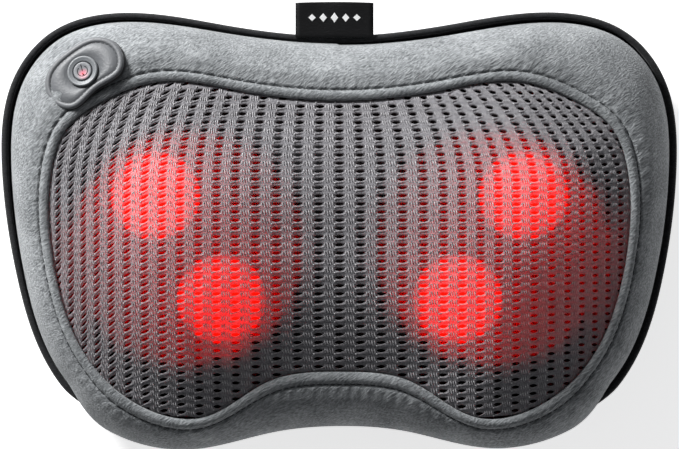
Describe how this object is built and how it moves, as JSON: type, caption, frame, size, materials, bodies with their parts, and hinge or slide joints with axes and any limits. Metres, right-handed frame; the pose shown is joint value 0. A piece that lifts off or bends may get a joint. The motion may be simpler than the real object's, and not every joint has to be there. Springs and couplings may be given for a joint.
{
  "type": "shiatsu neck massager",
  "caption": "Two-lobed shiatsu neck massage pillow with a mesh face over lamp-lit kneading nodes on geared heads, a stitched button pad and a power inlet.",
  "frame": {"origin": "middle of the footprint, in the plane that the back rests on", "axes": "+Z out of the massage face, +Y towards the woven label, +X to the right when the face is seen from the front with the label up"},
  "size_m": [0.3379, 0.2222, 0.107],
  "materials": {
    "air_mesh": "knitted spacer mesh",
    "back_fabric": "woven polyester",
    "bush_plastic": "moulded acetal",
    "button_plastic": "satin moulded",
    "case_plastic": "moulded ABS",
    "circuit_board": "solder mask",
    "copper_ring": "etched",
    "dark_plastic": "moulded",
    "foam": "open-cell foam",
    "gear_plastic": "moulded acetal",
    "ground_steel": "ground",
    "liner": "thin knit",
    "motor_steel": "drawn can",
    "mount_rubber": "moulded",
    "node_plastic": "translucent moulded",
    "pad_leather": "stitched polyurethane leather",
    "pad_trim": "moulded",
    "piping": "folded binding",
    "plush": "brushed micro-plush",
    "red_lamp": "clear epoxy",
    "woven_label": "damask woven",
    "zinc_steel": "zinc plated",
    "zip_coil": "moulded coil",
    "zip_tape": "woven"
  },
  "bodies": {
    "casing": {"back_cover": "back_fabric", "board_components": "dark_plastic", "brush_blocks": "dark_plastic", "button_bezel": "pad_trim", "case_screws": "zinc_steel", "control_board": "circuit_board", "control_pad": "pad_leather", "foam_back_pad": "foam", "foam_surround": "foam", "foam_topper": "foam", "housing_front": "case_plastic", "housing_rear": "case_plastic", "idler_pins": "ground_steel", "indicator_lamp": "red_lamp", "inlet_nut": "dark_plastic", "inlet_pin": "ground_steel", "inner_liner": "liner", "lower_bushes": "bush_plastic", "mesh_panel": "air_mesh", "motor_can": "motor_steel", "motor_end_cap": "dark_plastic", "motor_flux_ring": "zinc_steel", "motor_rings": "mount_rubber", "plush_front_cover": "plush", "power_inlet": "dark_plastic", "seam_piping": "piping", "switch_board": "circuit_board", "switch_case": "dark_plastic", "tact_switch": "dark_plastic", "top_label": "woven_label", "upper_bushes": "bush_plastic", "worm_bearing": "bush_plastic", "zip_tapes": "zip_tape", "zip_teeth": "zip_coil"},
    "head_left": {"drive_gear_left": "gear_plastic", "spindle_left": "ground_steel", "massage_arm_left": "case_plastic", "arm_screw_left": "zinc_steel", "slip_ring_left": "copper_ring", "node_posts_left": "ground_steel", "lamp_boards_left": "circuit_board", "lamps_left": "red_lamp"},
    "head_right": {"drive_gear_right": "gear_plastic", "spindle_right": "ground_steel", "massage_arm_right": "case_plastic", "arm_screw_right": "zinc_steel", "slip_ring_right": "copper_ring", "node_posts_right": "ground_steel", "lamp_boards_right": "circuit_board", "lamps_right": "red_lamp"},
    "idler_left": {"idler_gear_left": "gear_plastic"},
    "idler_right": {"idler_gear_right": "gear_plastic"},
    "rotor": {"motor_shaft": "ground_steel", "worm": "gear_plastic"},
    "node_cap_left_upper": {"node_left_upper": "node_plastic"},
    "node_cap_left_lower": {"node_left_lower": "node_plastic"},
    "node_cap_right_upper": {"node_right_upper": "node_plastic"},
    "node_cap_right_lower": {"node_right_lower": "node_plastic"},
    "button": {"power_button": "button_plastic"},
    "slider": {"zip_slider": "zinc_steel"}
  },
  "joints": [
    {"name": "head_left_spin", "type": "hinge", "parent": "casing", "child": "head_left", "pos_m": [-0.075, -0.01125, 0.0496], "axis": [0, 0, 1], "continuous": true},
    {"name": "head_right_spin", "type": "hinge", "parent": "casing", "child": "head_right", "pos_m": [0.075, -0.01125, 0.0496], "axis": [0, 0, 1], "continuous": true},
    {"name": "idler_left_spin", "type": "hinge", "parent": "casing", "child": "idler_left", "pos_m": [-0.027, -0.01125, 0.0311], "axis": [0, 0, 1], "continuous": true},
    {"name": "idler_right_spin", "type": "hinge", "parent": "casing", "child": "idler_right", "pos_m": [0.027, -0.01125, 0.0311], "axis": [0, 0, 1], "continuous": true},
    {"name": "rotor_spin", "type": "hinge", "parent": "casing", "child": "rotor", "pos_m": [0, -0.01125, 0.0311], "axis": [0, 1, 0], "continuous": true},
    {"name": "node_left_upper_spin", "type": "hinge", "parent": "head_left", "child": "node_cap_left_upper", "pos_m": [-0.09138, 0.01436, 0.0566], "axis": [0, 0, 1], "continuous": true},
    {"name": "node_left_lower_spin", "type": "hinge", "parent": "head_left", "child": "node_cap_left_lower", "pos_m": [-0.05862, -0.03686, 0.0566], "axis": [0, 0, 1], "continuous": true},
    {"name": "node_right_upper_spin", "type": "hinge", "parent": "head_right", "child": "node_cap_right_upper", "pos_m": [0.09138, 0.01436, 0.0566], "axis": [0, 0, 1], "continuous": true},
    {"name": "node_right_lower_spin", "type": "hinge", "parent": "head_right", "child": "node_cap_right_lower", "pos_m": [0.05862, -0.03686, 0.0566], "axis": [0, 0, 1], "continuous": true},
    {"name": "button_press", "type": "slide", "parent": "casing", "child": "button", "axis": [0.2649, -0.2649, -0.9272], "range_m": [0, 0.0008], "stiffness_N_per_m": 900},
    {"name": "zip_slide", "type": "slide", "parent": "casing", "child": "slider", "axis": [-1, 0, 0], "range_m": [0, 0.13]}
  ],
  "couplings": [
    {"joint": "head_right_spin", "follows": "head_left_spin", "ratio": -1},
    {"joint": "idler_left_spin", "follows": "head_left_spin", "ratio": -4.3333},
    {"joint": "idler_right_spin", "follows": "head_left_spin", "ratio": 4.3333},
    {"joint": "rotor_spin", "follows": "head_left_spin", "ratio": 112.67}
  ]
}
